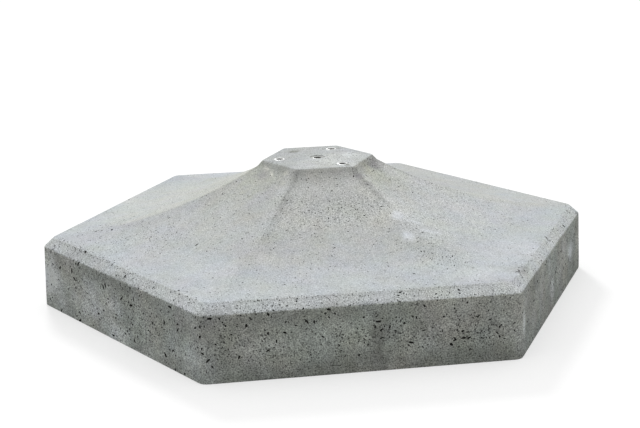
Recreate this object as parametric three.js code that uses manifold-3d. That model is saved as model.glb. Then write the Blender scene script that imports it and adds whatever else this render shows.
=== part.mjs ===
// A precast concrete foundation block for a flagpole: a hexagonal slab whose top
// sweeps up in six hollow faces to a small flat hexagon. Three threaded steel sockets
// for the pole's foot and one for lifting are cast into that flat.
// Millimetres, +Z up, origin at the middle of the underside, corners on the X axis.
import * as THREE from "three";
import { mergeVertices } from "three/addons/utils/BufferGeometryUtils.js";
import Module from "manifold-3d";

// Slab: footprint over the flats, upright sides with mould draft, chamfered edge.
const FOOT_ACROSS_FLATS = 1000;
const SIDE_HEIGHT = 125;
const SIDE_DRAFT = 4;
const CHAMFER = 18;
const SLAB_CORNER_RADIUS = 20;

// Boss: six faces hollowed to one radius from the slab's edge up, then a short steep lip
// to a flat top.
const TOP_ACROSS_FLATS = 200;
const TOP_HEIGHT = 280;
const FLARE_RADIUS = 750;
const LIP_HEIGHT = 12;
const LIP_RUN = 10;
const TOP_CORNER_RADIUS = 8;

// Sockets: steel sleeves with a blind M16 bore, flush with the top.
const SOCKET_DIAMETER = 22;
const SOCKET_LENGTH = 70;
const BORE_DIAMETER = 14;
const BORE_DEPTH = 50;
const MOUTH_CHAMFER = 1.5;
const BOLT_CIRCLE_DIAMETER = 160;
const BOLT_ANGLES = [60, 180, 300];
const LIFTING_RECESS_DIAMETER = 32;
const LIFTING_RECESS_DEPTH = 1.2;
const CASTING_GAP = 0.3;

// Facets.
const CORNERS = 6;
const CORNER_STEPS = 4;
const FLARE_STEPS = 20;
const SOCKET_SIDES = 24;
const WELD_TOLERANCE = 1e-4;

const concreteMaterial = new THREE.MeshStandardMaterial({ color: 0xbabfbe, roughness: 0.9, metalness: 0 });
const steelMaterial = new THREE.MeshStandardMaterial({ color: 0xc9cbc8, roughness: 0.4, metalness: 0.9 });

const wasm = await Module();
wasm.setup();

// One level of the block: a hexagon with rounded corners.
function hexagonRing({ apothem, z, cornerRadius }) {
  const halfCorner = Math.PI / CORNERS;
  const centreDistance = (apothem - cornerRadius) / Math.cos(halfCorner);
  const ring = [];
  for (let corner = 0; corner < CORNERS; corner++) {
    const middle = corner * 2 * halfCorner;
    for (let step = 0; step <= CORNER_STEPS; step++) {
      const turn = middle + halfCorner * ((2 * step) / CORNER_STEPS - 1);
      const x = centreDistance * Math.cos(middle) + cornerRadius * Math.cos(turn);
      const y = centreDistance * Math.sin(middle) + cornerRadius * Math.sin(turn);
      ring.push(new THREE.Vector3(x, y, z));
    }
  }
  return ring;
}

// A closed surface through rings of equal count, from the lowest to the highest.
function loft(rings) {
  const count = rings[0].length;
  const points = rings.flat();
  const floorCentre = points.push(new THREE.Vector3(0, 0, rings[0][0].z)) - 1;
  const topCentre = points.push(new THREE.Vector3(0, 0, rings.at(-1)[0].z)) - 1;
  const topStart = count * (rings.length - 1);
  const index = [];
  for (let i = 0; i < count; i++) {
    const next = (i + 1) % count;
    for (let level = 0; level < topStart; level += count) {
      index.push(level + i, level + next, level + count + next);
      index.push(level + i, level + count + next, level + count + i);
    }
    index.push(floorCentre, next, i);
    index.push(topCentre, topStart + i, topStart + next);
  }
  return new THREE.BufferGeometry().setFromPoints(points).setIndex(index);
}

// The block's outline as levels of apothem and height, from the underside to the top.
function blockLevels() {
  const foot = FOOT_ACROSS_FLATS / 2;
  const shoulder = foot - SIDE_DRAFT;
  const slabEdge = shoulder - CHAMFER;
  const slabHeight = SIDE_HEIGHT + CHAMFER;
  const top = TOP_ACROSS_FLATS / 2;
  const lip = top + LIP_RUN;
  const rise = TOP_HEIGHT - LIP_HEIGHT - slabHeight;
  const run = slabEdge - lip;
  const halfSweep = Math.asin(Math.hypot(run, rise) / (2 * FLARE_RADIUS));
  const startSlope = Math.atan2(rise, run) - halfSweep;
  const levels = [
    { apothem: foot, z: 0, cornerRadius: SLAB_CORNER_RADIUS },
    { apothem: shoulder, z: SIDE_HEIGHT, cornerRadius: SLAB_CORNER_RADIUS },
  ];
  for (let step = 0; step <= FLARE_STEPS; step++) {
    const slope = startSlope + (2 * halfSweep * step) / FLARE_STEPS;
    const apothem = slabEdge - FLARE_RADIUS * (Math.sin(slope) - Math.sin(startSlope));
    const share = (slabEdge - apothem) / run;
    levels.push({
      apothem,
      z: slabHeight + FLARE_RADIUS * (Math.cos(startSlope) - Math.cos(slope)),
      cornerRadius: THREE.MathUtils.lerp(SLAB_CORNER_RADIUS, TOP_CORNER_RADIUS, share),
    });
  }
  levels.push({ apothem: top, z: TOP_HEIGHT, cornerRadius: TOP_CORNER_RADIUS });
  return levels;
}

// Booleans: a geometry as a solid, and a solid as a geometry.
function toSolid(geometry) {
  const bare = geometry.clone();
  bare.deleteAttribute("normal");
  bare.deleteAttribute("uv");
  const merged = mergeVertices(bare, WELD_TOLERANCE);
  const vertProperties = new Float32Array(merged.attributes.position.array);
  const triVerts = new Uint32Array(merged.index.array);
  return new wasm.Manifold(new wasm.Mesh({ numProp: 3, vertProperties, triVerts }));
}

function toGeometry(solid) {
  const { vertProperties, triVerts } = solid.getMesh();
  const geometry = new THREE.BufferGeometry();
  geometry.setAttribute("position", new THREE.BufferAttribute(vertProperties, 3));
  geometry.setIndex(new THREE.BufferAttribute(triVerts, 1));
  geometry.computeVertexNormals();
  return geometry;
}

// An upright round cutter that opens past the top of the block.
function pocket({ x, y, mouth }, diameter, depth) {
  const overshoot = 10;
  const cutter = new THREE.CylinderGeometry(diameter / 2, diameter / 2, depth + overshoot, SOCKET_SIDES);
  cutter.rotateX(Math.PI / 2);
  cutter.translate(x, y, mouth + (overshoot - depth) / 2);
  return toSolid(cutter);
}

// Where each socket's mouth lies: three on the bolt circle, and one in the middle.
function socketPlaces() {
  const places = BOLT_ANGLES.map((degrees, i) => {
    const angle = THREE.MathUtils.degToRad(degrees);
    return {
      name: `bolt_socket_${i + 1}`,
      x: (BOLT_CIRCLE_DIAMETER / 2) * Math.cos(angle),
      y: (BOLT_CIRCLE_DIAMETER / 2) * Math.sin(angle),
      mouth: TOP_HEIGHT,
    };
  });
  places.push({ name: "lifting_socket", x: 0, y: 0, mouth: TOP_HEIGHT - LIFTING_RECESS_DEPTH });
  return places;
}

function makeConcreteBlock(places) {
  let solid = toSolid(loft(blockLevels().map(hexagonRing)));
  for (const place of places) {
    solid = solid.subtract(pocket(place, SOCKET_DIAMETER + 2 * CASTING_GAP, SOCKET_LENGTH + CASTING_GAP));
  }
  const recess = { x: 0, y: 0, mouth: TOP_HEIGHT };
  solid = solid.subtract(pocket(recess, LIFTING_RECESS_DIAMETER, LIFTING_RECESS_DEPTH));
  const block = new THREE.Mesh(toGeometry(solid), concreteMaterial);
  block.name = "concrete_block";
  return block;
}

// A sleeve closed at its foot, with a plain bore at the thread's size, turned in one piece.
function makeSocket({ name, x, y, mouth }) {
  const sleeve = SOCKET_DIAMETER / 2;
  const bore = BORE_DIAMETER / 2;
  const profile = [
    new THREE.Vector2(0, -SOCKET_LENGTH),
    new THREE.Vector2(sleeve, -SOCKET_LENGTH),
    new THREE.Vector2(sleeve, 0),
    new THREE.Vector2(bore + MOUTH_CHAMFER, 0),
    new THREE.Vector2(bore, -MOUTH_CHAMFER),
    new THREE.Vector2(bore, -BORE_DEPTH),
    new THREE.Vector2(0, -BORE_DEPTH),
  ];
  const socket = new THREE.Mesh(new THREE.LatheGeometry(profile, SOCKET_SIDES), steelMaterial);
  socket.name = name;
  socket.rotation.x = Math.PI / 2;
  socket.position.set(x, y, mouth);
  return socket;
}

const foundation = new THREE.Group();
const places = socketPlaces();
foundation.add(makeConcreteBlock(places));
for (const place of places) foundation.add(makeSocket(place));

export default foundation;
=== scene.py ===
import math
import random
from functools import reduce
import bmesh
import bpy
from mathutils import Matrix, Vector


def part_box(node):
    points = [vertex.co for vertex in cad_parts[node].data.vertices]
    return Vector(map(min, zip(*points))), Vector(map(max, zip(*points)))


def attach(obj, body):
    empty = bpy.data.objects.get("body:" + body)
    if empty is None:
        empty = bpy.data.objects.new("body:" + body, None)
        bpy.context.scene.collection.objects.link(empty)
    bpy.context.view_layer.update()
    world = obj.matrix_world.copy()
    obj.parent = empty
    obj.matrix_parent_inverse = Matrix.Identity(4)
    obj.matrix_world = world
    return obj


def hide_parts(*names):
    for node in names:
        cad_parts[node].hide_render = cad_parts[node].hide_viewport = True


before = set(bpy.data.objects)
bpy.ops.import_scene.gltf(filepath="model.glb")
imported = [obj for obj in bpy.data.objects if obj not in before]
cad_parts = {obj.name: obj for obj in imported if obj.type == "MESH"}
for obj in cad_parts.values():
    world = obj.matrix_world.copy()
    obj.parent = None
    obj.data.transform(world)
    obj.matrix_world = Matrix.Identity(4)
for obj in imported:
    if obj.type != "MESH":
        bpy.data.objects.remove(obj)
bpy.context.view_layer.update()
scene = bpy.context.scene
scene.view_settings.view_transform = "Standard"
print("frame loaded:", ", ".join(sorted(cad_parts)))


# Node formulas. A Term is a node's output that can be written into a sum like a number.
class Term:
    def __init__(self, tree, socket):
        self.tree = tree
        self.socket = socket

    def __lt__(self, other):
        return calc("LESS_THAN", self, other)

    def __gt__(self, other):
        return calc("GREATER_THAN", self, other)

    def __abs__(self):
        return calc("ABSOLUTE", self)


def addOperator(sign, operation):    # with the Term before the sign, and after it
    setattr(Term, f"__{sign}__", lambda term, other: calc(operation, term, other))
    setattr(Term, f"__r{sign}__", lambda term, other: calc(operation, other, term))


operators = {"add": "ADD", "sub": "SUBTRACT", "mul": "MULTIPLY", "truediv": "DIVIDE", "pow": "POWER"}
for sign, operation in operators.items():
    addOperator(sign, operation)


def plug(tree, socket, value):
    if isinstance(value, Term):
        tree.links.new(value.socket, socket)
    else:
        socket.default_value = value


def addNode(tree, kind, inputs, **settings):
    made = tree.nodes.new(kind)
    for name, value in settings.items():
        setattr(made, name, value)
    for name, value in inputs.items():
        plug(tree, made.inputs[name], value)
    return made


def out(made, name=0):
    return Term(made.id_data, made.outputs[name])


def treeOf(*values):
    return next(v.tree for v in values if isinstance(v, Term))


def calc(operation, *values):
    return out(addNode(treeOf(*values), "ShaderNodeMath", dict(enumerate(values)), operation=operation))


def calcVector(operation, *values):
    made = addNode(treeOf(*values), "ShaderNodeVectorMath", dict(enumerate(values)), operation=operation)
    return out(made, "Value" if operation == "LENGTH" else "Vector")


def scaled(vector, factor):
    inputs = {0: vector, "Scale": factor}
    return out(addNode(treeOf(vector, factor), "ShaderNodeVectorMath", inputs, operation="SCALE"))


def split(vector):
    made = addNode(vector.tree, "ShaderNodeSeparateXYZ", {0: vector})
    return [out(made, axis) for axis in range(3)]


def join(x, y, z):
    return out(addNode(treeOf(x, y, z), "ShaderNodeCombineXYZ", {0: x, 1: y, 2: z}))


def ramp(value, low, high, start=0.0, end=1.0):    # a smooth step from start to end
    inputs = {"Value": value, "From Min": low, "From Max": high, "To Min": start, "To Max": end}
    return out(addNode(value.tree, "ShaderNodeMapRange", inputs, interpolation_type="SMOOTHSTEP"))


def noise(vector, size, seed, detail=2.0, roughness=0.5):    # size is that of one lump, in metres
    inputs = {"Vector": vector, "W": seed, "Scale": 1.0 / size, "Detail": detail, "Roughness": roughness}
    return out(addNode(vector.tree, "ShaderNodeTexNoise", inputs, noise_dimensions="4D"))


def awayFrom(spot, centre, radii):    # 1 where a place with these radii ends
    return calcVector("LENGTH", calcVector("DIVIDE", calcVector("SUBTRACT", spot, centre), radii))


def largest(*values):
    return reduce(lambda first, second: calc("MAXIMUM", first, second), values)


def smallest(*values):
    return reduce(lambda first, second: calc("MINIMUM", first, second), values)


def choose(share, first, second):
    return first + (second - first) * share


def mixColour(share, first, second):
    mixed = addNode(share.tree, "ShaderNodeMix", {0: share}, data_type="RGBA")
    for socket, value in ((mixed.inputs[6], first), (mixed.inputs[7], second)):
        plug(share.tree, socket, value if isinstance(value, Term) else (*value, 1.0))
    return out(mixed, 2)


# The block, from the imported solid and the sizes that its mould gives.
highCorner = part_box("concrete_block")[1]
block = {
    "footApothem": highCorner.y,
    "topHeight": highCorner.z,
    "sideHeight": 0.125,
    "sideDraft": 0.004,
    "chamfer": 0.018,
    "slabCornerRadius": 0.020,
    "topApothem": 0.100,
    "flareRadius": 0.750,
    "flareSteps": 26,
    "lipHeight": 0.012,
    "lipRun": 0.010,
    "topCornerRadius": 0.008,
    "shoulderRounding": 0.0020,
    "slabEdgeRounding": 0.0016,
    "topRounding": 0.0025,
    "columnsPerSide": 46,
    "crowding": 1.9,    # above 1 draws the columns to the corners
    "cornerLimit": 0.9,
    "waviness": 0.0007,
    "broadWave": (0.16, 2.2),    # size of a wave, and its share
    "closeWave": (0.03, 0.9),
    "flatFoot": 0.02,
    "seed": 11,
    "sharpAngle": 32,
}
block["shoulder"] = block["footApothem"] - block["sideDraft"]
block["slabEdge"] = block["shoulder"] - block["chamfer"]
block["slabHeight"] = block["sideHeight"] + block["chamfer"]
block["lipApothem"] = block["topApothem"] + block["lipRun"]
block["lipFoot"] = block["topHeight"] - block["lipHeight"]
sides = 6
halfCorner = math.pi / sides


# Where a point lies on the block: how far out over the flats, how far from a ridge, how high.
def blockPlace(position):
    x, y, height = split(position)
    cosine = math.cos(halfCorner)
    sine = math.sin(halfCorner)
    flats = [abs(y), abs(x * cosine + y * sine), abs(x * cosine - y * sine)]
    apothem = largest(*flats)
    second = flats[0] + flats[1] + flats[2] - apothem - smallest(*flats)
    return apothem, (apothem - second) / cosine, height


def onFace(spot, apothem, degrees, width=0.04):    # 1 where the face that looks this way is the outer one
    x, y, unused = split(spot)
    angle = math.radians(degrees)
    return ramp(apothem - x * math.cos(angle) - y * math.sin(angle), width, 0.0)


# Node trees, for finishes and for shapes
def floats(*labels):    # number sockets with these labels
    return {label: "Float" for label in labels}


def newTree(family, name, inputs, outputs):
    tree = bpy.data.node_groups.new(name, family + "NodeTree")
    for way, sockets in (("INPUT", inputs), ("OUTPUT", outputs)):
        for label, kind in sockets.items():
            tree.interface.new_socket(label, in_out=way, socket_type="NodeSocket" + kind)
    given = tree.nodes.new("NodeGroupInput")
    return tree, {label: out(given, label) for label in inputs}


def endTree(tree, outputs):
    addNode(tree, "NodeGroupOutput", outputs)
    return tree


# Finishes. Groups hold what several finishes share.
def newGroup(name, numbers, outputs):
    tree, given = newTree("Shader", name, {"Vector": "Vector", **numbers}, floats(*outputs))
    return tree, *given.values()


def useGroup(group, inputs):
    return addNode(treeOf(*inputs.values()), "ShaderNodeGroup", inputs, node_tree=group)


def makeClouds():    # soft lighter and darker lumps, as a factor about 1
    inputs = floats("Size", "Strength", "Seed")
    tree, spot, size, strength, seed = newGroup("cementClouds", inputs, ["Factor"])
    lumps = noise(spot, size, seed, 3.0, 0.55)
    return endTree(tree, {"Factor": 1.0 + (lumps - 0.5) * 2.0 * strength})


def makeGrain():    # sand in the cement skin, as a factor about 1 and as a height
    tree, spot, size, strength = newGroup("sandGrain", floats("Size", "Strength"), ["Factor", "Height"])
    grains = noise(spot, size, 4.0, 1.0, 0.6)
    return endTree(tree, {"Factor": 1.0 + (grains - 0.5) * 2.0 * strength, "Height": grains})


def makeFinePores():    # pinholes too small to cut, as a mask
    tree, spot, spacing, amount, seed = newGroup("finePores", floats("Spacing", "Amount", "Seed"), ["Mask"])
    sway = addNode(tree, "ShaderNodeTexNoise", {"Vector": spot, "Scale": 1.2 / spacing, "Detail": 1.0})
    bend = calcVector("SUBTRACT", out(sway, "Color"), (0.5, 0.5, 0.5))
    bent = calcVector("ADD", spot, scaled(bend, spacing * 0.9))
    bent = calcVector("ADD", bent, join(seed, seed, 0.0))
    cells = addNode(tree, "ShaderNodeTexVoronoi", {"Vector": bent, "Scale": 1.0 / spacing})
    chance, spread, unused = split(out(cells, "Color"))
    radius = 0.15 + spread * spread * 0.27    # in shares of the spacing
    hole = ramp(out(cells, "Distance"), radius, radius * 0.6)
    return endTree(tree, {"Mask": hole * (chance < amount)})


def makePatch():    # one ragged patch at a place, as a mask
    inputs = {"Centre": "Vector", "Radii": "Vector", **floats("Ragged", "Lump")}
    tree, spot, centre, radii, ragged, lump = newGroup("placedPatch", inputs, ["Mask"])
    torn = (noise(spot, lump, 9.0, 3.0, 0.6) - 0.5) * 2.0 * ragged
    return endTree(tree, {"Mask": ramp(awayFrom(spot, centre, radii) + torn, 1.0, 0.1)})


cementClouds = makeClouds()
sandGrain = makeGrain()
finePores = makeFinePores()
placedPatch = makePatch()


def clouds(spot, size, strength, seed):
    return out(useGroup(cementClouds, {"Vector": spot, "Size": size, "Strength": strength, "Seed": seed}))


def sand(spot, size, strength):
    made = useGroup(sandGrain, {"Vector": spot, "Size": size, "Strength": strength})
    return out(made, "Factor"), out(made, "Height")


def newMaterial(name, settings):
    material = bpy.data.materials.new(name)
    material.use_nodes = True
    tree = material.node_tree
    shader = tree.nodes["Principled BSDF"]
    wear(shader, settings)
    return material, shader, out(tree.nodes.new("ShaderNodeTexCoord"), "Object")


def wear(shader, inputs):
    for label, value in inputs.items():
        plug(shader.id_data, shader.inputs[label], value)


def bumped(height, distance, strength):
    inputs = {"Height": height, "Distance": distance, "Strength": strength}
    return out(addNode(height.tree, "ShaderNodeBump", inputs), "Normal")


# Colours of the cast skin by zone, as reflectance, some of them painted light and shade.
skin = {
    "mauve": (0.488, 0.512, 0.539),
    "sage": (0.480, 0.511, 0.517),
    "boss": (0.473, 0.485, 0.469),
    "side": (0.484, 0.520, 0.484),
    "sideWarm": (0.502, 0.512, 0.480),
    "chamfer": (0.592, 0.620, 0.622),
    "top": (0.430, 0.446, 0.442),
    "lip": (0.340, 0.342, 0.318),
    "lime": (0.680, 0.712, 0.735),
    "darkStainAndShade": (0.215, 0.222, 0.200),
    "bruise": (0.300, 0.292, 0.305),
    "poreShade": (0.035, 0.034, 0.030),
    "straw": (0.555, 0.571, 0.519),
    "tan": (0.502, 0.520, 0.448),
    "warm": (0.474, 0.488, 0.478),
    "bloomAndPaintedLight": (0.930, 0.975, 0.970),
    "creamAndHighlight": (0.760, 0.755, 0.680),
}

# Places of the stains and of the painted light and shade in millimetres: centre, radii, raggedness,
# share. Lime is on the upper faces, bloom and painted light on the sides, and rim on the steel.
stainAndLightPlaces = {}
stainAndLightPlaces["lime"] = [
    ((120, -222, 206), (17, 20, 16), 0.4, 0.92),
    ((128, -287, 181), (20, 26, 20), 0.5, 0.70),
    ((152, -237, 194), (36, 9, 12), 0.6, 0.45),
    ((176, -266, 181), (40, 10, 12), 0.7, 0.45),
    ((212, -434, 147), (80, 50, 12), 0.8, 0.26),
    ((-251, -320, 156), (110, 60, 20), 0.8, 0.12),
    ((-291, -67, 181), (70, 60, 22), 0.8, 0.09),
    ((327, -309, 147), (110, 140, 12), 0.8, 0.12),
    ((60, 10, 280), (34, 30, 4), 0.8, 0.32),
    ((-24, -80, 280), (26, 9, 4), 0.6, 0.24),
]
stainAndLightPlaces["bloomAndPaintedLight"] = [
    # The first five, at the left corner and over the left side, are painted light falling on that side.
    ((-567, -16, 66), (74, 100, 64), 0.4, 1.00),
    ((-540, -62, 24), (36, 46, 30), 0.8, 0.34),
    ((-480, -165, 56), (80, 100, 56), 0.8, 0.50),
    ((-428, -254, 20), (64, 80, 46), 0.7, 0.66),
    ((-438, -240, 66), (64, 66, 36), 0.8, 0.60),
    ((-302, -476, 42), (34, 36, 42), 0.7, 0.24),
    ((-204, -498, 60), (46, 20, 34), 0.8, 0.24),
    ((104, -498, 36), (60, 20, 34), 0.8, 0.13),
    ((106, -498, 40), (12, 10, 13), 0.5, 0.34),
    ((299, -481, 62), (13, 17, 40), 0.3, 0.88),
    ((429, -254, 44), (22, 34, 36), 0.6, 0.62),
    ((450, -215, 56), (44, 80, 30), 0.8, 0.26),
    ((481, -161, 97), (14, 18, 40), 0.8, 0.24),
    ((520, -95, 66), (30, 48, 34), 0.5, 0.82),
    ((570, -8, 58), (10, 14, 50), 0.7, 0.28),
]
# Dark stains by the sockets and over the faces, darker bands below the chamfer, and, lowest on the sides,
# painted shade near the ground.
stainAndLightPlaces["darkStainAndShade"] = [
    ((26, -498, 52), (28, 20, 80), 0.6, 0.78),
    ((210, -498, 18), (130, 20, 30), 0.8, 0.42),
    ((-60, -498, 14), (110, 20, 24), 0.8, 0.34),
    ((-430, -258, 116), (170, 170, 24), 0.8, 0.50),
    ((-500, -115, 134), (60, 80, 20), 0.8, 0.20),
    ((-330, -430, 8), (80, 110, 26), 0.8, 0.22),
    ((0, -499, 24), (64, 20, 24), 0.8, 0.36),
    ((326, -430, 62), (40, 70, 60), 0.8, 0.24),
    ((-330, -430, 96), (60, 80, 40), 0.8, 0.26),
    ((-60, -498, 114), (200, 20, 26), 0.8, 0.34),
    ((104, -498, 68), (34, 20, 24), 0.8, 0.26),
    ((-266, -496, 112), (40, 20, 40), 0.8, 0.28),
    ((556, -32, 100), (24, 36, 26), 0.7, 0.45),
    ((350, -390, 106), (46, 60, 24), 0.8, 0.36),
    ((-41, 60, 280), (18, 14, 6), 0.4, 0.85),
    ((47, -86, 280), (8, 14, 4), 0.3, 1.00),
    ((55, 72, 280), (9, 14, 4), 0.8, 0.55),
    ((23, 67, 280), (4, 7, 4), 0.5, 0.50),
]
stainAndLightPlaces["bruise"] = [
    ((112, -32, 266), (36, 44, 15), 0.7, 0.80),
    ((67, -116, 263), (18, 16, 16), 0.6, 0.60),
    ((82, -133, 250), (22, 17, 18), 0.7, 0.52),
    ((98, -154, 236), (22, 18, 16), 0.8, 0.26),
    ((-124, -40, 259), (28, 34, 16), 0.6, 0.46),
    ((20, -106, 269), (60, 8, 8), 0.8, 0.30),
    ((317, -413, 140), (34, 40, 12), 0.8, 0.42),
    ((300, -478, 140), (60, 40, 14), 0.8, 0.20),
    ((-262, -488, 118), (60, 30, 30), 0.8, 0.25),
]
stainAndLightPlaces["tan"] = [
    ((-134, -45, 250), (74, 90, 40), 1.0, 0.58),
    ((108, -82, 253), (68, 74, 34), 1.0, 0.68),
]
stainAndLightPlaces["creamAndHighlight"] = [
    ((-112, -28, 268), (9, 18, 7), 0.6, 0.70),
    ((-104, -57, 262), (6, 22, 7), 0.5, 0.60),
    # This one, at the front-left corner below the top, is a painted highlight where the lip's rounded corner
    # catches the light.
    ((-77, -84, 270), (13, 15, 9), 0.5, 0.45),
    ((-154, -325, 169), (46, 40, 16), 0.8, 0.16),
]
stainAndLightPlaces["rim"] = [
    ((49, -76, 280), (4, 5, 5), 0.3, 0.80),
    ((28, 67, 280), (3, 4, 5), 0.3, 0.50),
]
stainAndLightLumps = {"lime": 0.02, "bloomAndPaintedLight": 0.03, "darkStainAndShade": 0.03, "bruise": 0.012, "tan": 0.02, "creamAndHighlight": 0.01,
              "rim": 0.004}    # sizes of the lumps that tear the edge of a patch, in metres
millimetre = 0.001


def placedMask(spot, name):
    masks = []
    for centre, radii, ragged, share in stainAndLightPlaces[name]:
        masks.append(share * out(useGroup(placedPatch, {
            "Vector": spot,
            "Centre": Vector(centre) * millimetre,
            "Radii": Vector(radii) * millimetre,
            "Ragged": ragged,
            "Lump": stainAndLightLumps[name],
        })))
    return largest(*masks)


# Where a zone of the skin begins and where it is full, in metres.
zones = {
    "boss": (0.455, 0.214),    # distances over the flats
    "coolFace": (0.150, 0.263),
    "backLeft": (0.360, 0.160),
    "seamAndShade": (0.272, 0.137),
    "ridgeShadeFoot": (0.400, 0.250),    # on the left, and on the right
    "apron": (0.397, 0.327),
    "underRidgeShade": (0.160, 0.240),
    "seamAndShadeWidth": (0.016, 0.002),    # distances from a ridge
    "ridgeShadeWidth": (0.032, 0.001),
    "apronHead": (0.208, 0.187),    # heights
    "paleFoot": (0.232, 0.246),
    "paleHead": (0.264, 0.252),
    "speckledFoot": (0.183, 0.206),
    "speckledHead": (0.252, 0.229),
    "shadedFoot": (0.070, 0.000),
    "farLeft": (0.420, 0.240),    # depths, from the middle to the back
    "farEdge": (0.340, 0.440),
    "nearRidge": (-0.090, 0.000),
    "inFromLeft": (-0.470, -0.380),    # across, from left to right
    "speckledHalf": (0.125, 0.075),
}
# How much of its colour a zone gains or loses, how coarse its grain is, and its share of pinholes.
# The gains on the faces of the boss, the sides and the chamfer are painted light on those faces; apron
# and paleBand are bands on the front of the boss made darker and lighter. The losses by the ridges are
# painted shade, with the mould's dark seams; crease and farEdge are darker along the top of the chamfer
# and towards the back.
tonesAndPaintedLight = {"front": 0.11, "right": 0.14, "leftSide": 0.09, "rightSide": 0.12, "rightChamfer": 0.09,
         "frontChamfer": 0.07, "apron": -0.09, "paleBand": 0.07}
shades = {"seamAndShade": 0.15, "ridgeShade": 0.12, "crease": 0.08, "farEdge": 0.10, "underRidgeShade": 0.06}
coarseness = {"side": 0.76, "chamfer": 0.36, "boss": 0.12, "speckled": 0.22, "right": 0.24}
pinholeShares = {"side": 0.50, "chamfer": 0.36, "boss": 0.12, "speckled": 0.38, "right": 0.20}


def summed(base, shares, masks):
    return sum((masks[name] * share for name, share in shares.items()), base)


def coloured(colour, layers):    # each layer in the skin's colour of that name
    for name, mask in layers.items():
        colour = mixColour(mask, colour, skin[name])
    return colour


def fade(value, zone, *ends):
    return ramp(value, *zones[zone], *ends)


def castZones(spot):    # a mask for each zone of the skin
    apothem, ridge, height = blockPlace(spot)
    across, along, unused = split(spot)
    ragged = noise(spot, 0.02, 2.0, 3.0) - 0.5
    low = block["sideHeight"]
    edge = block["slabEdge"]
    summit = block["topHeight"]
    depth = along + ragged * 0.08
    level = height + ragged * 0.02
    beside = ridge + ragged * 0.012
    downward = apothem + ragged * 0.1
    frontFace = onFace(spot, apothem, -90)
    rightFace = onFace(spot, apothem, -30)
    leftFace = onFace(spot, apothem, -150)
    behind = onFace(spot, apothem, 150, 0.008)
    side = ramp(height + ragged * 0.005, low + 0.0012, low - 0.0016)
    chamfer = (1.0 - side) * ramp(apothem + ragged * 0.003, edge - 0.0012, edge + 0.0008)
    top = ramp(height, summit - 0.0015, summit - 0.0004)
    boss = fade(apothem + ragged * 0.16, "boss")
    front = boss * frontFace
    strawBoss = fade(apothem + ragged * 0.2, "backLeft") * 0.7
    strawSlab = fade(depth, "farLeft") * fade(across, "inFromLeft") * 0.40
    # Painted shade runs down beside the ridges of the boss's front, further down on the left, and below the
    # left ridge.
    reach = ramp(across, -0.02, 0.02, *zones["ridgeShadeFoot"])
    ridgeShade = fade(beside, "ridgeShadeWidth") * ramp(downward, reach, zones["seamAndShade"][1])
    speckled = front * fade(level, "speckledHead") * fade(level, "speckledFoot")
    underRidgeShade = onFace(spot, apothem, -150, 0.008) * fade(depth, "nearRidge")
    return {
        "side": side,
        "chamfer": chamfer,
        "top": top,
        "boss": boss,
        "front": front,
        "right": boss * rightFace,
        "left": boss * leftFace,
        "cool": fade(apothem + ragged * 0.08, "coolFace"),
        "straw": largest(strawBoss, strawSlab) * behind,
        "backRight": onFace(spot, apothem, 30),
        "lip": ramp(height + ragged * 0.012, block["lipFoot"] - 0.020, summit - 0.001) * (1.0 - top),
        "seamAndShade": fade(beside, "seamAndShadeWidth") * fade(downward, "seamAndShade") * (1.0 - top),
        "ridgeShade": ridgeShade * (1.0 - top) * onFace(spot, apothem, -90, 0.004),
        "leftSide": side * leftFace,
        "rightSide": side * rightFace,
        "rightChamfer": chamfer * rightFace,
        "frontChamfer": chamfer * frontFace,
        "crease": (chamfer - chamfer * rightFace * 0.7) * ramp(abs(apothem - edge - 0.003), 0.004, 0.0),
        "apron": frontFace * fade(level, "apronHead") * fade(apothem, "apron"),
        "paleBand": front * fade(height, "paleFoot") * fade(height, "paleHead"),
        "farEdge": behind * fade(depth, "farEdge"),
        "underRidgeShade": underRidgeShade * fade(apothem, "underRidgeShade") * (1.0 - side),
        "speckled": speckled * fade(abs(across + 0.012), "speckledHalf", 0.4, 1.0),
        "foot": fade(height, "shadedFoot") * side * (1.0 - side * leftFace),
    }


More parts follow.
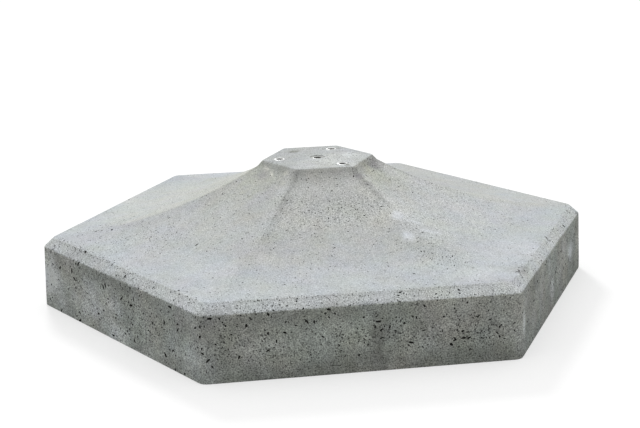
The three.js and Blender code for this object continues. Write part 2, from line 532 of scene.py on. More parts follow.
def makeCastConcrete():
    material, shader, spot = newMaterial("castConcrete", {"Specular IOR Level": 0.25})
    masks = castZones(spot)
    side = masks["side"]
    drift = noise(spot, 0.13, 6.0)
    # The slab's bluish colours are partly a painted reflection of the sky on the flats, partly the cement's
    # own.
    slab = mixColour(ramp(drift, 0.38, 0.62), skin["sage"], skin["mauve"])
    slab = mixColour(ramp(drift + masks["backRight"] * 0.3, 0.5, 0.9), slab, skin["warm"])
    cool = (masks["right"] * 0.45 + masks["left"] * 0.25) * masks["cool"]
    colour = coloured(slab, {
        "boss": masks["boss"] * (1.0 - cool),
        "straw": masks["straw"],
        "lip": masks["lip"] * (0.66 - masks["left"] * 0.24),
        "top": masks["top"],
        "chamfer": masks["chamfer"],
    })
    colour = mixColour(side, colour, mixColour(ramp(drift, 0.36, 0.64), skin["side"], skin["sideWarm"]))
    # Zones are lighter or darker than their colour: painted light on the faces, and painted shade by the
    # ridges, with the mould's dark seams.
    colour = scaled(colour, summed(1.0, tonesAndPaintedLight, masks) * (1.0 - summed(0.0, shades, masks)))
    # Stains, with painted light in the bloom and the cream, and painted shade among the dark patches.
    stainsAndLight = {name: placedMask(spot, name) for name in ("darkStainAndShade", "tan", "creamAndHighlight", "bruise", "lime", "bloomAndPaintedLight")}
    stainsAndLight["bloomAndPaintedLight"] = stainsAndLight["bloomAndPaintedLight"] * side
    colour = coloured(colour, stainsAndLight)
    # Sides are cloudier and coarser than the trowelled slab.
    broad = clouds(spot, 0.085, 0.12 + side * 0.34, 1.0)
    close = clouds(spot, 0.018, 0.10 + side * 0.24, 5.0)
    grain, grainHeight = sand(spot, 0.0023, summed(0.68, coarseness, masks))
    colour = scaled(colour, broad * close * largest(grain, 0.2))
    # Lime, and bloom and painted light where they are thick, cover the grain.
    cover = {"lime": stainsAndLight["lime"] * 0.6, "bloomAndPaintedLight": ramp(stainsAndLight["bloomAndPaintedLight"], 0.5, 1.0) * 0.7}
    colour = coloured(colour, cover)
    # The cement wanders a little to olive and to purple.
    frontSide = side - masks["leftSide"] - masks["rightSide"]
    redder = (noise(spot, 0.045, 12.0) - 0.5) * 0.09
    bluer = (noise(spot, 0.05, 15.0) - 0.5) * 0.18 - frontSide * 0.025
    colour = calcVector("MULTIPLY", colour, join(1.0 + redder, 1.0, 1.0 + bluer))
    # Trowel marks run across the top, and the side is painted darker towards its foot, as shade near the
    # ground.
    across, along, unused = split(spot)
    marks = noise(join(across * 0.12, along, 0.0), 0.005, 3.0) - 0.5
    colour = scaled(colour, 1.0 + marks * masks["top"] * 0.5)
    colour = scaled(colour, 1.0 - masks["foot"] * 0.23)
    # Pinholes come in swarms, and most of them on the sides and the chamfer; their near-black colour is
    # painted shade inside the holes.
    swarm = ramp(noise(spot, 0.06, 7.0), 0.34, 0.66, 0.35, 1.65)
    amount = summed(0.17, pinholeShares, masks) * swarm * (1.0 - stainsAndLight["lime"])
    pinholes = out(useGroup(finePores, {"Vector": spot, "Spacing": 0.0046, "Amount": amount, "Seed": 3.0}))
    wear(shader, {
        "Base Color": mixColour(pinholes * 0.85, colour, skin["poreShade"]),
        "Roughness": 0.82 + grainHeight * 0.16,
        "Normal": bumped(grainHeight * 0.5 - pinholes, 0.0012, 0.6),
    })
    return material


# The pits' walls are painted near black, as the shade inside them.
def makePoreConcrete():
    material, shader, spot = newMaterial("shadedPoreConcrete", {"Specular IOR Level": 0.1})
    grain, grainHeight = sand(spot, 0.0016, 0.5)
    share = ramp(grain * clouds(spot, 0.03, 0.4, 8.0), 0.5, 1.5)
    wear(shader, {
        "Base Color": mixColour(share, (0.012, 0.0115, 0.010), (0.062, 0.060, 0.054)),
        "Roughness": 0.8 + share * 0.2,
        "Normal": bumped(grainHeight, 0.0008, 0.5),
    })
    return material


def makeSteel(name, bright, dull, metal):
    material, shader, spot = newMaterial(name, {"IOR": 1.6})
    grain, grainHeight = sand(spot, 0.0007, 0.25)
    share = ramp(clouds(spot, 0.006, 0.6, 2.0), 0.9, 1.4)
    colour = scaled(mixColour(share, bright, dull), grain)
    wear(shader, {
        "Base Color": mixColour(placedMask(spot, "rim"), colour, skin["darkStainAndShade"]),
        "Metallic": metal - share * 0.25,
        "Roughness": 0.38 + share * 0.3,
        "Normal": bumped(grainHeight, 0.0002, 0.4),
    })
    return material


# The bore's steel is painted dark, as the shade down inside the bore.
def makeBoreSteel():
    material, shader, spot = newMaterial("shadedBoreSteel", {"IOR": 1.6})
    lumps = clouds(spot, 0.004, 0.8, 4.0)
    dirt = ramp(lumps, 0.7, 1.3)
    wear(shader, {
        "Base Color": mixColour(dirt, (0.070, 0.068, 0.062), (0.150, 0.150, 0.142)),
        "Metallic": 0.85 - dirt * 0.35,
        "Roughness": 0.45 + dirt * 0.3,
        "Normal": bumped(lumps, 0.0003, 0.4),
    })
    return material


def makePaleFloor():
    return newMaterial("paleFloor", {
        "Specular IOR Level": 0.0,
        "Base Color": (0.54, 0.54, 0.54, 1.0),
        "Roughness": 1.0,
        "Emission Color": (1.0, 1.0, 1.0, 1.0),
        "Emission Strength": 0.48,
    })[0]


castConcrete = makeCastConcrete()
shadedPoreConcrete = makePoreConcrete()
zincSteel = makeSteel("zincSteel", (0.86, 0.87, 0.86), (0.60, 0.60, 0.58), 0.55)
stainedSteel = makeSteel("stainedSteel", (0.40, 0.41, 0.40), (0.27, 0.27, 0.26), 0.40)
shadedBoreSteel = makeBoreSteel()
print("finishes made")


# Geometry Nodes helpers
weldDistance = 0.00001


def newShapeTree(name, inputs):
    return newTree("Geometry", name, inputs, {"Geometry": "Geometry"})


def endShapeTree(geometry):
    return endTree(geometry.tree, {"Geometry": geometry})


def coat(geometry, material, where=True):
    inputs = {"Geometry": geometry, "Material": material, "Selection": where}
    return out(addNode(geometry.tree, "GeometryNodeSetMaterial", inputs))


def realised(geometry):
    return out(addNode(geometry.tree, "GeometryNodeRealizeInstances", {0: geometry}))


def addObject(name, data):
    made = bpy.data.objects.new(name, data)
    scene.collection.objects.link(made)
    return made


def runTree(name, tree, values, mesh=None):    # a plain mesh of what the tree makes
    piece = addObject(name, mesh or bpy.data.meshes.new(name))
    modifier = piece.modifiers.new(name, "NODES")
    modifier.node_group = tree
    for item in tree.interface.items_tree:
        if item.in_out == "INPUT" and item.name in values:
            modifier[item.identifier] = values[item.name]
    made = piece.evaluated_get(bpy.context.evaluated_depsgraph_get())
    plain = bpy.data.meshes.new_from_object(made)
    piece.modifiers.remove(modifier)
    piece.data = plain
    plain.name = name
    return piece


def position(tree):
    return out(addNode(tree, "GeometryNodeInputPosition", {}))


def dice(tree, low, high, seed):
    made = addNode(tree, "FunctionNodeRandomValue", {2: low, 3: high, "Seed": seed}, data_type="FLOAT")
    return out(made, 1)


def sampleRow(profile, row):    # the outline's point for each row of a grid
    tree = row.tree
    outline = addNode(tree, "GeometryNodeObjectInfo", {"Object": profile}, transform_space="ORIGINAL")
    inputs = {"Geometry": out(outline, "Geometry"), "Value": position(tree), "Index": row}
    return out(addNode(tree, "GeometryNodeSampleIndex", inputs, data_type="FLOAT_VECTOR", domain="POINT"))


def rowGrid(columns, rows):    # a flat grid, with the share round and the row of each point
    inputs = {"Size X": 1.0, "Size Y": 1.0, "Vertices X": columns + 1.0, "Vertices Y": rows}
    grid = addNode(rows.tree, "GeometryNodeMeshGrid", inputs)
    across, along, unused = split(position(rows.tree))
    return out(grid, "Mesh"), across + 0.5, calc("ROUND", (along + 0.5) * (rows - 1.0))


def moved(geometry, **target):    # to a Position, or by an Offset
    return out(addNode(geometry.tree, "GeometryNodeSetPosition", {"Geometry": geometry, **target}))


def swung(radius, angle, height):    # a point from its radius, angle and height
    return join(radius * calc("COSINE", angle), radius * calc("SINE", angle), height)


def welded(geometry):
    inputs = {"Geometry": geometry, "Distance": weldDistance}
    return out(addNode(geometry.tree, "GeometryNodeMergeByDistance", inputs))


def profileCurve(name, outline):    # an outline in the XZ plane, for a tree to sweep
    curve = bpy.data.curves.new(name, "CURVE")
    curve.dimensions = "3D"
    spline = curve.splines.new("POLY")
    spline.points.add(len(outline) - 1)
    for point, row in zip(spline.points, outline):
        point.co = (row.x, 0.0, row.y, 1.0)
    return bpy.data.objects.new(name, curve)


def run(start, end, count):    # rows along a straight stretch, without its end
    return [start.lerp(end, step / count) for step in range(count)]


def rounded(before, edge, after, radius, count=3):    # rows round an edge of the outline
    first = edge + (before - edge).normalized() * radius
    last = edge + (after - edge).normalized() * radius
    rows = []
    for step in range(count + 1):
        t = step / count
        rows.append(first * (1 - t) ** 2 + edge * 2 * t * (1 - t) + last * t ** 2)
    return rows


def blockOutline():    # apothem and height, from the middle of the underside to that of the top
    underside = Vector((0.0, 0.0))
    foot = Vector((block["footApothem"], 0.0))
    shoulder = Vector((block["shoulder"], block["sideHeight"]))
    slabEdge = Vector((block["slabEdge"], block["slabHeight"]))
    lip = Vector((block["lipApothem"], block["lipFoot"]))
    topEdge = Vector((block["topApothem"], block["topHeight"]))
    crown = Vector((0.0, block["topHeight"]))
    # The hollow has one radius, from the edge of the slab to the foot of the lip.
    chord = lip - slabEdge
    halfSweep = math.asin(chord.length / (2 * block["flareRadius"]))
    startSlope = math.atan2(chord.y, -chord.x) - halfSweep
    flare = []
    for step in range(1, block["flareSteps"] + 1):
        slope = startSlope + 2 * halfSweep * step / block["flareSteps"]
        across = math.sin(startSlope) - math.sin(slope)
        upward = math.cos(startSlope) - math.cos(slope)
        flare.append(slabEdge + Vector((across, upward)) * block["flareRadius"])
    footRows = rounded(underside, foot, shoulder, block["topRounding"])
    shoulderRows = rounded(foot, shoulder, slabEdge, block["shoulderRounding"])
    edgeRows = rounded(shoulder, slabEdge, flare[0], block["slabEdgeRounding"])
    topRows = rounded(lip, topEdge, crown, block["topRounding"])
    outline = run(underside, footRows[0], 4) + footRows
    outline += run(footRows[-1], shoulderRows[0], 8)[1:] + shoulderRows
    outline += run(shoulderRows[-1], edgeRows[0], 3)[1:] + edgeRows + flare
    outline += run(lip, topRows[0], 3)[1:] + topRows
    return outline + run(topRows[-1], crown, 5)[1:] + [crown]


def sweptBlockTree():
    tree, given = newShapeTree("sweptBlock", {
        "Profile": "Object",
        "Rows": "Int",
        "Columns per Side": "Int",
        **floats("Crowding", "Low Apothem", "High Apothem", "Low Radius", "High Radius", "Waviness", "Seed"),
        "Material": "Material",
    })
    grid, share, row = rowGrid(given["Columns per Side"] * sides, given["Rows"])
    apothem, unused, height = split(sampleRow(given["Profile"], row))
    corner = calc("FLOOR", share * sides)
    swing = (share * sides - corner) * 2.0 - 1.0
    turn = calc("SIGN", swing) * abs(swing) ** given["Crowding"] * halfCorner
    lean = abs(turn)
    # The corner radius grows from the top to the slab, and never passes the apothem.
    radius = smallest(out(addNode(tree, "ShaderNodeMapRange", {
        "Value": apothem,
        "From Min": given["High Apothem"],
        "From Max": given["Low Apothem"],
        "To Min": given["High Radius"],
        "To Max": given["Low Radius"],
    })), apothem * block["cornerLimit"])
    centre = (apothem - radius) / math.cos(halfCorner)
    flat = apothem / calc("COSINE", halfCorner - lean)
    drop = centre * calc("SINE", lean)
    reach = calc("SQRT", largest(radius * radius - drop * drop, 0.0))
    bend = centre * calc("COSINE", lean) + reach
    limit = calc("ARCTAN2", radius * math.sin(halfCorner), centre + radius * math.cos(halfCorner))
    distance = flat + (bend - flat) * (lean < limit)
    target = swung(distance, corner * (2 * halfCorner) + turn, height)
    swept = welded(moved(grid, Position=target))
    # Faces bow in and out a little, but the underside and the top stay flat.
    spot = position(tree)
    level = split(spot)[2]
    loose = ramp(level, 0.0, block["flatFoot"]) * ramp(level, block["topHeight"], block["lipFoot"])
    broadSize, broadShare = block["broadWave"]
    closeSize, closeShare = block["closeWave"]
    broad = noise(spot, broadSize, given["Seed"], 1.0) - 0.5
    close = noise(spot, closeSize, given["Seed"] + 7.0) - 0.5
    swell = (broad * broadShare + close * closeShare) * given["Waviness"] * loose
    normal = out(addNode(tree, "GeometryNodeInputNormal", {}))
    waved = realised(moved(swept, Offset=scaled(normal, swell)))
    return endShapeTree(coat(waved, given["Material"]))


# Threaded sleeves, and the pockets that they sit in.
sleeve = {
    "radius": 0.011,
    "length": 0.070,
    "boreRadius": 0.007,
    "boreDepth": 0.050,
    "mouthChamfer": 0.0015,
    "rimRounding": 0.0004,
    "threadDepth": 0.0010,
    "threadPitch": 0.002,
    "rowsPerTurn": 4,
    "columns": 32,
    "castingGap": 0.0003,
    "recessRadius": 0.016,
    "cutterRise": 0.010,
    "brightShare": 0.65,    # of the mouth's chamfer, above the bore's painted shade
    "slack": 0.0001,
    "boreMargin": 0.0005,
    "sharpAngle": 30,
}


def turnedTree():
    tree, given = newShapeTree("turnedSleeve", {
        "Profile": "Object",
        "Rows": "Int",
        "Columns": "Int",
        "Place": "Vector",
        **floats("Thread Depth", "Thread Pitch", "Thread Radius", "Thread Top", "Thread Foot"),
        **floats("Bore Radius", "Bore Top"),
        "Material": "Material",
        "Bore Material": "Material",
    })
    grid, share, row = rowGrid(given["Columns"], given["Rows"])
    radius, unused, height = split(sampleRow(given["Profile"], row))
    threaded = (height < given["Thread Top"]) * (height > given["Thread Foot"])
    threaded = threaded * (radius < given["Thread Radius"])
    groove = calc("PINGPONG", height / given["Thread Pitch"] + share, 0.5) * 2.0
    radius = radius + groove * given["Thread Depth"] * threaded
    turned = moved(grid, Position=swung(radius, share * (2 * math.pi), height))
    placed = moved(welded(turned), Offset=given["Place"])
    x, y, level = split(calcVector("SUBTRACT", position(tree), given["Place"]))
    inBore = (calc("SQRT", x * x + y * y) < given["Bore Radius"]) * (level < given["Bore Top"])
    coated = coat(realised(placed), given["Material"])
    return endShapeTree(coat(coated, given["Bore Material"], inBore))


def sleeveOutline():    # from the foot of the sleeve round its rim to the foot of the bore
    foot = Vector((0.0, -sleeve["length"]))
    outerFoot = Vector((sleeve["radius"], -sleeve["length"]))
    rim = Vector((sleeve["radius"], 0.0))
    mouth = Vector((sleeve["boreRadius"] + sleeve["mouthChamfer"], 0.0))
    throat = Vector((sleeve["boreRadius"], -sleeve["mouthChamfer"]))
    boreFoot = Vector((sleeve["boreRadius"], -sleeve["boreDepth"]))
    boreMiddle = Vector((0.0, -sleeve["boreDepth"]))
    rimRows = rounded(outerFoot, rim, mouth, sleeve["rimRounding"], 2)
    threadRows = round(sleeve["boreDepth"] / sleeve["threadPitch"] * sleeve["rowsPerTurn"])
    outline = [foot, outerFoot] + rimRows + run(mouth, throat, 2)
    return outline + run(throat, boreFoot, threadRows) + [boreFoot, boreMiddle]


def pocketOutline(depth, recess):    # a cutter that opens past the top, stepped where there is a recess
    above = recess + sleeve["cutterRise"]
    wide = sleeve["radius"] + sleeve["castingGap"]
    outline = [Vector((0.0, -depth)), Vector((wide, -depth))]
    if recess:
        outline += [Vector((wide, 0.0)), Vector((sleeve["recessRadius"], 0.0))]
        wide = sleeve["recessRadius"]
    return outline + [Vector((wide, above)), Vector((0.0, above))]


def makeTurned(name, outline, place, finish, boreFinish, threaded):
    threadTop = -sleeve["mouthChamfer"] - sleeve["slack"]
    return runTree(name, turnedSleeve, {
        "Profile": profileCurve(name + "Profile", outline),
        "Rows": len(outline),
        "Columns": sleeve["columns"],
        "Place": place,
        "Thread Depth": sleeve["threadDepth"] * threaded,
        "Thread Pitch": sleeve["threadPitch"],
        "Thread Radius": sleeve["boreRadius"] + sleeve["slack"],
        "Thread Top": threadTop,
        "Thread Foot": -sleeve["boreDepth"] + sleeve["threadPitch"],
        "Bore Radius": sleeve["boreRadius"] + sleeve["threadDepth"] + sleeve["boreMargin"],
        "Bore Top": threadTop * sleeve["brightShare"],
        "Material": finish,
        "Bore Material": boreFinish,
    })


def smoothed(mesh, sharpAngle):
    mesh.shade_smooth()
    mesh.set_sharp_from_angle(angle=math.radians(sharpAngle))


turnedSleeve = turnedTree()
pockets = bpy.data.collections.new("pockets")
for node in ("bolt_socket_1", "bolt_socket_2", "bolt_socket_3", "lifting_socket"):
    low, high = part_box(node)
    mouth = Vector(((low.x + high.x) / 2, (low.y + high.y) / 2, high.z))
    name = "threadedSleeve_" + node
    finish = stainedSteel if node == "lifting_socket" else zincSteel
    socket = makeTurned(name, sleeveOutline(), mouth, finish, shadedBoreSteel, 1.0)
    smoothed(socket.data, sleeve["sharpAngle"])
    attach(socket, "root")
    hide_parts(node)
    recess = round(block["topHeight"] - mouth.z, 4)
    outline = pocketOutline(sleeve["length"] + sleeve["castingGap"], recess)
    pocket = makeTurned("pocket_" + node, outline, mouth, castConcrete, castConcrete, 0.0)
    scene.collection.objects.unlink(pocket)
    pockets.objects.link(pocket)
print("sockets made")


# Pits: air holes that the mould left in the skin. Sizes in metres, densities per square metre.
pits = {
    "seed": 21,
    "depth": 0.9,
    "sink": 0.25,
    "jitter": 0.34,
    "prickLid": 0.6,
    "prickReach": 1.25,
    "prickLean": 0.3,
    "prickDepth": 1.5,
    "picks": 50.0,
    "manySmall": 1.6,    # above 1 makes more of the sizes small
    "manySmallNicks": 1.5,
    "nickReach": 0.55,
    "oversampling": 2.0,
    "packing": 0.53,
    "flatBand": 0.0005,
    "shoulderBand": 0.001,
    "edgeBand": 0.002,
    "clusterSize": 0.030,
    "clusters": (0.32, 0.68, 0.35, 1.65),
    "calmShare": 0.85,
    "bossFade": (0.416, 0.316),    # distances over the flats
    "frontWidth": (0.020, 0.000),
    "calmHead": (0.229, 0.250),    # heights on the front of the boss, and of the side
    "frontFoot": (0.185, 0.209),
    "calmFoot": (0.060, 0.020),
    "airHole": {"Spacing": 0.0080, "Smallest": 0.0013, "Largest": 0.0028, "Longest": 2.9, "Seed": 5,
                "Side": 960.0, "Chamfer": 200.0, "Slab": 18.0, "Boss": 8.0, "Front": 24.0,
                "Top": 20.0, "Underside": 40.0},
    "bubble": {"Spacing": 0.0048, "Smallest": 0.0010, "Largest": 0.0017, "Longest": 2.5, "Seed": 8,
               "Side": 3100.0, "Chamfer": 2300.0, "Slab": 120.0, "Boss": 290.0, "Front": 560.0,
               "Top": 100.0, "Underside": 60.0},
    "pinHole": {"Spacing": 0.0042, "Smallest": 0.0008, "Largest": 0.0012, "Longest": 1.9, "Seed": 14,
                "Side": 4200.0, "Chamfer": 5000.0, "Slab": 750.0, "Boss": 1500.0, "Front": 2900.0,
                "Top": 350.0, "Underside": 60.0},
}
# Crowded places in millimetres: centre, radii, and how many times as dense.
crowdedPlaces = [
    ((146, -323, 170), (36, 40, 30), 6.0),
    ((181, -371, 158), (60, 60, 30), 26.0),
    ((47, -86, 280), (10, 15, 6), 70.0),
    ((-6, -213, 211), (90, 70, 60), 2.4),
    ((200, -498, 62), (90, 40, 60), 3.0),
    ((-515, -95, 136), (80, 110, 18), 1.6),
    ((-110, -497, 106), (76, 30, 18), 2.6),
    ((-400, -300, 60), (110, 150, 80), 2.6),
    ((460, -200, 52), (120, 190, 76), 1.7),
    ((-400, -77, 155), (240, 200, 24), 20.0),
    ((112, -32, 266), (60, 64, 34), 12.0),
    ((40, -498, 76), (60, 30, 50), 2.6),
    ((-350, -395, 64), (80, 100, 60), 2.2),
]


def bulgeShape(name, chance, segments, rings):    # a rough ball, sunk so that its mouth is narrower
    form = bmesh.new()
    bmesh.ops.create_uvsphere(form, u_segments=segments, v_segments=rings, radius=1.0)
    for vert in form.verts:
        vert.co *= 1.0 + chance.uniform(-pits["jitter"], pits["jitter"])
        vert.co.z = vert.co.z * pits["depth"] - pits["sink"]
    return shapeObject(name, form)


def prickShape(name, chance, segments):    # a rough cone, point down
    form = bmesh.new()
    rim = []
    for number in range(segments):
        angle = 2 * math.pi * number / segments
        reach = pits["prickReach"] * (1.0 + chance.uniform(-pits["jitter"], pits["jitter"]))
        rim.append(form.verts.new((reach * math.cos(angle), reach * math.sin(angle), pits["prickLid"])))
    lean = [chance.uniform(-pits["prickLean"], pits["prickLean"]) for unused in range(2)]
    point = form.verts.new((*lean, -pits["prickDepth"]))
    form.faces.new(rim)
    for number in range(segments):
        form.faces.new((rim[(number + 1) % segments], rim[number], point))
    return shapeObject(name, form)


def shapeObject(name, form):
    mesh = bpy.data.meshes.new(name)
    form.to_mesh(mesh)
    form.free()
    mesh.materials.append(shadedPoreConcrete)
    return bpy.data.objects.new(name, mesh)


def pitShapes(name, count, make, **fineness):
    chance = random.Random(pits["seed"] + len(name))
    group = bpy.data.collections.new(name)
    for number in range(count):
        group.objects.link(make(name + str(number), chance, **fineness))
    return group


def eulerTurn(*angles):
    turn = join(*angles)
    return out(addNode(turn.tree, "FunctionNodeEulerToRotation", {0: turn}))


def endScatterTree(points, shapes, pick, rotation, scale, where=True):    # one of the shapes at each point
    tree = points.tree
    held = addNode(tree, "GeometryNodeCollectionInfo", {
        "Collection": shapes, "Separate Children": True, "Reset Children": True})
    placed = addNode(tree, "GeometryNodeInstanceOnPoints", {
        "Points": points,
        "Selection": where,
        "Instance": out(held),
        "Pick Instance": True,
        "Instance Index": calc("FLOOR", dice(tree, 0.0, pits["picks"], pick)),
        "Rotation": rotation,
        "Scale": scale,
    })
    return endShapeTree(realised(out(placed)))


def pitLayerTree():
    tree, given = newShapeTree("pitLayer", {
        "Geometry": "Geometry",
        "Shapes": "Collection",
        **floats(*pits["airHole"]),
        "Seed": "Int",
    })
    spot = position(tree)
    apothem, unused, height = blockPlace(spot)
    shoulder = block["sideHeight"] - pits["shoulderBand"]
    edge = block["slabEdge"] - pits["edgeBand"]
    under = height < pits["flatBand"]
    top = height > block["topHeight"] - pits["flatBand"]
    upper = (apothem < edge) * (height > block["sideHeight"]) * (1.0 - top)
    boss = ramp(apothem, *pits["bossFade"]) * upper
    inFront = ramp(split(spot)[1] + apothem, *pits["frontWidth"])
    boss = boss * (1.0 - inFront * ramp(height, *pits["calmHead"], 0.0, pits["calmShare"]))
    side = (height < shoulder) * (1.0 - under)
    places = {
        "Side": side * (1.0 - inFront * ramp(height, *pits["calmFoot"])),
        "Chamfer": (height > shoulder) * (apothem > edge),
        "Boss": boss,
        "Front": boss * inFront * ramp(height, *pits["frontFoot"]),
        "Slab": upper - boss,
        "Top": top,
        "Underside": under,
    }
    density = summed(0.0, places, given)
    density = density * ramp(noise(spot, pits["clusterSize"], given["Seed"]), *pits["clusters"])
    for centre, radii, gain in crowdedPlaces:
        away = awayFrom(spot, Vector(centre) * millimetre, Vector(radii) * millimetre)
        density = density * ramp(away, 1.0, 0.0, 1.0, gain)
    # Points that keep their spacing get about half as dense as the spacing allows.
    crowd = 1.0 / (given["Spacing"] * given["Spacing"])
    scatter = addNode(tree, "GeometryNodeDistributePointsOnFaces", {
        "Mesh": given["Geometry"],
        "Distance Min": given["Spacing"],
        "Density Max": crowd * pits["oversampling"],
        "Density Factor": density / (crowd * pits["packing"]),
        "Seed": given["Seed"],
    }, distribute_method="POISSON")
    size = choose(dice(tree, 0.0, 1.0, 1) ** pits["manySmall"], given["Smallest"], given["Largest"])
    scale = join(size * dice(tree, 1.0, given["Longest"], 2), size, size)
    spin = eulerTurn(0.0, 0.0, dice(tree, 0.0, 2 * math.pi, 4))
    rotation = out(addNode(tree, "FunctionNodeRotateRotation", {
        0: out(scatter, "Rotation"), 1: spin}, rotation_space="LOCAL"))
    return endScatterTree(out(scatter, "Points"), given["Shapes"], 5, rotation, scale)


# Nicks along the edges of the slab and of the top, in metres.
nicks = {
    "shoulder": {"Apothem": block["shoulder"], "Height": block["sideHeight"], "Spacing": 0.017,
                 "Smallest": 0.0028, "Largest": 0.0058, "Chance": 0.34, "Seed": 31, "Lift": 0.25},
    "slabEdge": {"Apothem": block["slabEdge"], "Height": block["slabHeight"], "Spacing": 0.015,
                 "Smallest": 0.0020, "Largest": 0.0040, "Chance": 0.22, "Seed": 32, "Lift": 0.6},
    "topEdge": {"Apothem": block["topApothem"], "Height": block["topHeight"], "Spacing": 0.012,
                "Smallest": 0.0018, "Largest": 0.0034, "Chance": 0.30, "Seed": 33, "Lift": 0.5},
    "foot": {"Apothem": block["footApothem"], "Height": 0.0, "Spacing": 0.024,
             "Smallest": 0.0030, "Largest": 0.0070, "Chance": 0.40, "Seed": 34, "Lift": -0.4},
}


def nickRingTree():
    tree, given = newShapeTree("nickRing", {
        "Shapes": "Collection",
        **floats(*nicks["foot"]),
        "Seed": "Int",
    })
    ring = addNode(tree, "GeometryNodeCurvePrimitiveCircle", {
        "Resolution": sides, "Radius": given["Apothem"] / math.cos(halfCorner)}, mode="RADIUS")
    points = addNode(tree, "GeometryNodeCurveToPoints", {
        "Curve": out(ring, "Curve"), "Length": given["Spacing"]}, mode="LENGTH")
    share = dice(tree, 0.0, 1.0, given["Seed"]) ** pits["manySmallNicks"]
    size = choose(share, given["Smallest"], given["Largest"])
    outward = scaled(calcVector("NORMALIZE", position(tree)), size * pits["nickReach"])
    lift = join(0.0, 0.0, given["Height"] + size * given["Lift"])
    placed = moved(out(points, "Points"), Offset=calcVector("ADD", outward, lift))
    turns = [dice(tree, 0.0, 2 * math.pi, given["Seed"] + step) for step in (10.0, 20.0, 30.0)]
    kept = dice(tree, 0.0, 1.0, given["Seed"] + 40.0) < given["Chance"]
    rotation = eulerTurn(*turns)
    scale = join(size, size, size)
    return endScatterTree(placed, given["Shapes"], given["Seed"] + 50.0, rotation, scale, kept)


# The block's flat map, in shares of its width: the view from above, six strips for the sides over it,
# and small places beside it for the underside, the pockets and all the pits.
flatMap = {
    "name": "OFBake",
    "gap": 0.004,
    "scale": 0.71,
    "besideScale": 0.15,
    "underside": (0.83, 0.02),
    "pockets": (0.83, 0.22),
    "pits": (0.83, 0.32),
    "pocketScale": (0.75, 0.9),
    "pocketTurn": (0.8, 0.6),
    "pocketShift": (0.1, -0.2),
    "undersideBand": 0.01,
    "pocketBand": (0.1, 0.02),    # over the underside, and below the top
    "steep": 0.5,
}


def onFaces(value):    # the value in the middle of each corner's own face
    settings = {"data_type": "FLOAT_VECTOR", "domain": "FACE"}
    return out(addNode(value.tree, "GeometryNodeFieldOnDomain", {"Value": value}, **settings))


def laidOut(geometry, isPit):
    tree = geometry.tree
    gap = flatMap["gap"]
    scale = flatMap["scale"]
    beside = flatMap["besideScale"]
    halfSide = block["footApothem"] * math.tan(halfCorner)
    halfWidth = block["footApothem"] / math.cos(halfCorner)
    x, y, height = split(position(tree))
    middle = onFaces(position(tree))
    faceUp = split(onFaces(out(addNode(tree, "GeometryNodeInputNormal", {}))))[2]
    apothem, unused, level = blockPlace(middle)
    middleX, middleY, unused = split(middle)
    across = gap + (x + halfWidth) * scale
    along = gap + (y + block["footApothem"]) * scale
    # Sides: two strips to a row
    number = calc("FLOOR", calc("ARCTAN2", middleY, middleX) / (2 * halfCorner))
    facing = (number + 0.5) * (2 * halfCorner)
    slide = y * calc("COSINE", facing) - x * calc("SINE", facing)
    place = number + sides / 2
    row = calc("FLOOR", place * 0.5)
    column = place - row * 2.0
    onSide = level < block["sideHeight"]
    stripAcross = gap + (slide + halfSide) * scale + column * (2 * halfSide * scale + gap)
    stripUp = 2 * block["footApothem"] * scale + 2 * gap + height * scale
    across = choose(onSide, across, stripAcross)
    along = choose(onSide, along, stripUp + row * (block["sideHeight"] * scale + gap))
    underside = (level < flatMap["undersideBand"]) * (faceUp < -flatMap["steep"])
    across = choose(underside, across, flatMap["underside"][0] + (y + block["footApothem"]) * beside)
    along = choose(underside, along, flatMap["underside"][1] + (x + halfWidth) * beside)
    overUnderside, belowTop = flatMap["pocketBand"]
    wall = (abs(faceUp) < flatMap["steep"]) * (level > block["sideHeight"])
    deep = (level < block["topHeight"] - belowTop) * (level > overUnderside)
    inPocket = largest(wall, deep) * (apothem < block["topApothem"])
    wide, tall = flatMap["pocketScale"]
    rightward, upward = flatMap["pocketShift"]
    slant = x * flatMap["pocketTurn"][0] + y * flatMap["pocketTurn"][1] + rightward
    across = choose(inPocket, across, flatMap["pockets"][0] + slant * wide)
    along = choose(inPocket, along, flatMap["pockets"][1] + (height + upward) * tall)
    across = choose(isPit, across, flatMap["pits"][0] + across * beside)
    along = choose(isPit, along, flatMap["pits"][1] + along * beside)
    return out(addNode(tree, "GeometryNodeStoreNamedAttribute", {
        "Geometry": geometry, "Name": flatMap["name"], "Value": join(across, along, 0.0),
    }, data_type="FLOAT2", domain="CORNER"))


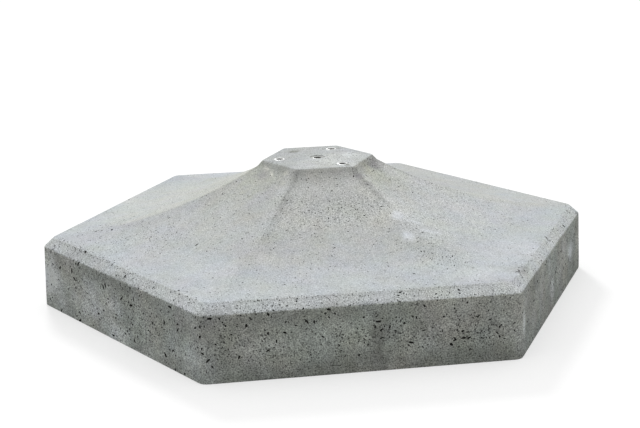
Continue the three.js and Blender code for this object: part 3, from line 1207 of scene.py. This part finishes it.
def pittedBlockTree():
    layers = {"Air Holes": pits["airHole"], "Bubbles": pits["bubble"], "Pin Holes": pits["pinHole"]}
    tree, given = newShapeTree("pittedBlock", {
        "Geometry": "Geometry",
        **{label: "Collection" for label in layers},
        "Nicks": "Collection",
        "Pockets": "Collection",
        "Skin": "Material",
        "Pore": "Material",
    })
    cut = addNode(tree, "GeometryNodeMeshBoolean", {0: given["Geometry"]},
                  operation="DIFFERENCE", solver="MANIFOLD")
    cutters = []
    layerTree = pitLayerTree()
    for label, sizes in layers.items():
        inputs = {"Geometry": given["Geometry"], "Shapes": given[label], **sizes}
        made = addNode(tree, "GeometryNodeGroup", inputs, node_tree=layerTree)
        cutters.append(coat(out(made), given["Pore"]))
    ringTree = nickRingTree()
    for sizes in nicks.values():
        made = addNode(tree, "GeometryNodeGroup", {"Shapes": given["Nicks"], **sizes}, node_tree=ringTree)
        cutters.append(coat(out(made), given["Skin"]))
    wells = addNode(tree, "GeometryNodeCollectionInfo", {"Collection": given["Pockets"]})
    cutters.append(realised(out(wells)))
    for cutter in cutters:
        tree.links.new(cutter.socket, cut.inputs[1])
    isPore = out(addNode(tree, "GeometryNodeMaterialSelection", {"Material": given["Pore"]}))
    skinOnly = out(addNode(tree, "FunctionNodeBooleanMath", {0: isPore}, operation="NOT"))
    mapped = realised(laidOut(out(cut), isPore))
    return endShapeTree(coat(mapped, given["Skin"], skinOnly))


def keepFinishes(mesh, finishes):    # drops the slots that no face wears
    worn = [mesh.materials[face.material_index] for face in mesh.polygons]
    mesh.materials.clear()
    for finish in finishes:
        mesh.materials.append(finish)
    mesh.polygons.foreach_set("material_index", [finishes.index(finish) for finish in worn])


def sharpenRims(mesh):    # no shading runs across the rim of a pit
    form = bmesh.new()
    form.from_mesh(mesh)
    for edge in form.edges:
        if len({face.material_index for face in edge.link_faces}) > 1:
            edge.smooth = False
    form.to_mesh(mesh)
    form.free()


outline = blockOutline()
bareBlock = runTree("bareBlock", sweptBlockTree(), {
    "Profile": profileCurve("blockProfile", outline),
    "Rows": len(outline),
    "Columns per Side": block["columnsPerSide"],
    "Crowding": block["crowding"],
    "Low Apothem": block["slabEdge"],
    "High Apothem": block["lipApothem"],
    "Low Radius": block["slabCornerRadius"],
    "High Radius": block["topCornerRadius"],
    "Waviness": block["waviness"],
    "Seed": block["seed"],
    "Material": castConcrete,
})
print("bare block swept:", len(bareBlock.data.polygons), "faces")
concreteBlock = runTree("concreteBlock", pittedBlockTree(), {
    "Air Holes": pitShapes("airHole", 6, bulgeShape, segments=7, rings=4),
    "Bubbles": pitShapes("bubble", 5, bulgeShape, segments=5, rings=3),
    "Pin Holes": pitShapes("pinHole", 5, prickShape, segments=4),
    "Nicks": pitShapes("nick", 4, bulgeShape, segments=7, rings=5),
    "Pockets": pockets,
    "Skin": castConcrete,
    "Pore": shadedPoreConcrete,
}, bareBlock.data)
bpy.data.objects.remove(bareBlock)
smoothed(concreteBlock.data, block["sharpAngle"])
keepFinishes(concreteBlock.data, [castConcrete, shadedPoreConcrete])
sharpenRims(concreteBlock.data)
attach(concreteBlock, "root")
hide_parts("concrete_block")
print("block made:", len(concreteBlock.data.polygons), "faces")

# Camera, as solved from the corners of the slab and of the top.
shot = {
    "azimuth": -8.732,
    "elevation": 15.398,
    "roll": -1.244,
    "distance": 2.8024,
    "slideRight": -0.0009,
    "slideUp": 0.1509,
    "focalPixels": 1312.1,
    "imageWidth": 640,
    "sensorWidth": 36.0,
}


def makeCamera():
    azimuth = math.radians(shot["azimuth"])
    elevation = math.radians(shot["elevation"])
    flatBack = Vector((math.sin(azimuth), -math.cos(azimuth), 0.0))
    back = flatBack * math.cos(elevation) + Vector((0.0, 0.0, math.sin(elevation)))
    right = Vector((0.0, 0.0, 1.0)).cross(back).normalized()
    right = Matrix.Rotation(math.radians(shot["roll"]), 3, back) @ right
    up = back.cross(right)
    lens = bpy.data.cameras.new("camera")
    lens.sensor_width = shot["sensorWidth"]
    lens.lens = shot["focalPixels"] * shot["sensorWidth"] / shot["imageWidth"]
    camera = addObject("camera", lens)
    camera.matrix_world = Matrix((right, up, back)).transposed().to_4x4()
    camera.location = back * shot["distance"] + right * shot["slideRight"] + up * shot["slideUp"]
    scene.camera = camera


def makeFloor():
    mesh = bpy.data.meshes.new("floor")
    reach = 20.0
    corners = [(-reach, -reach, 0), (reach, -reach, 0), (reach, reach, 0), (-reach, reach, 0)]
    mesh.from_pydata(corners, [], [(0, 1, 2, 3)])
    mesh.materials.append(makePaleFloor())
    floor = addObject("floor", mesh)
    floor.visible_diffuse = False    # the pale floor doesn't brighten the sides from below


light = {
    "sunStrength": 1.25,
    "sunSpread": 12.0,
    "sunTravel": (0.06, -0.81, -0.57),
    "skyTop": 1.14,
    "skyHorizon": 0.38,
}


def makeLight():
    lamp = bpy.data.lights.new("softBack", "SUN")
    lamp.energy = light["sunStrength"]
    lamp.angle = math.radians(light["sunSpread"])
    sun = addObject("softBack", lamp)
    sun.rotation_mode = "QUATERNION"
    sun.rotation_quaternion = Vector(light["sunTravel"]).to_track_quat("-Z", "Y")
    world = bpy.data.worlds.new("studio")
    world.use_nodes = True
    tree = world.node_tree
    up = split(out(tree.nodes.new("ShaderNodeTexCoord"), "Generated"))[2]
    sky = choose(largest(up, 0.0), light["skyHorizon"], light["skyTop"]) * (up > 0.0)    # none from below
    tree.links.new(join(sky, sky, sky).socket, tree.nodes["Background"].inputs["Color"])
    scene.world = world


makeCamera()
makeFloor()
makeLight()
print("camera, floor and light set")
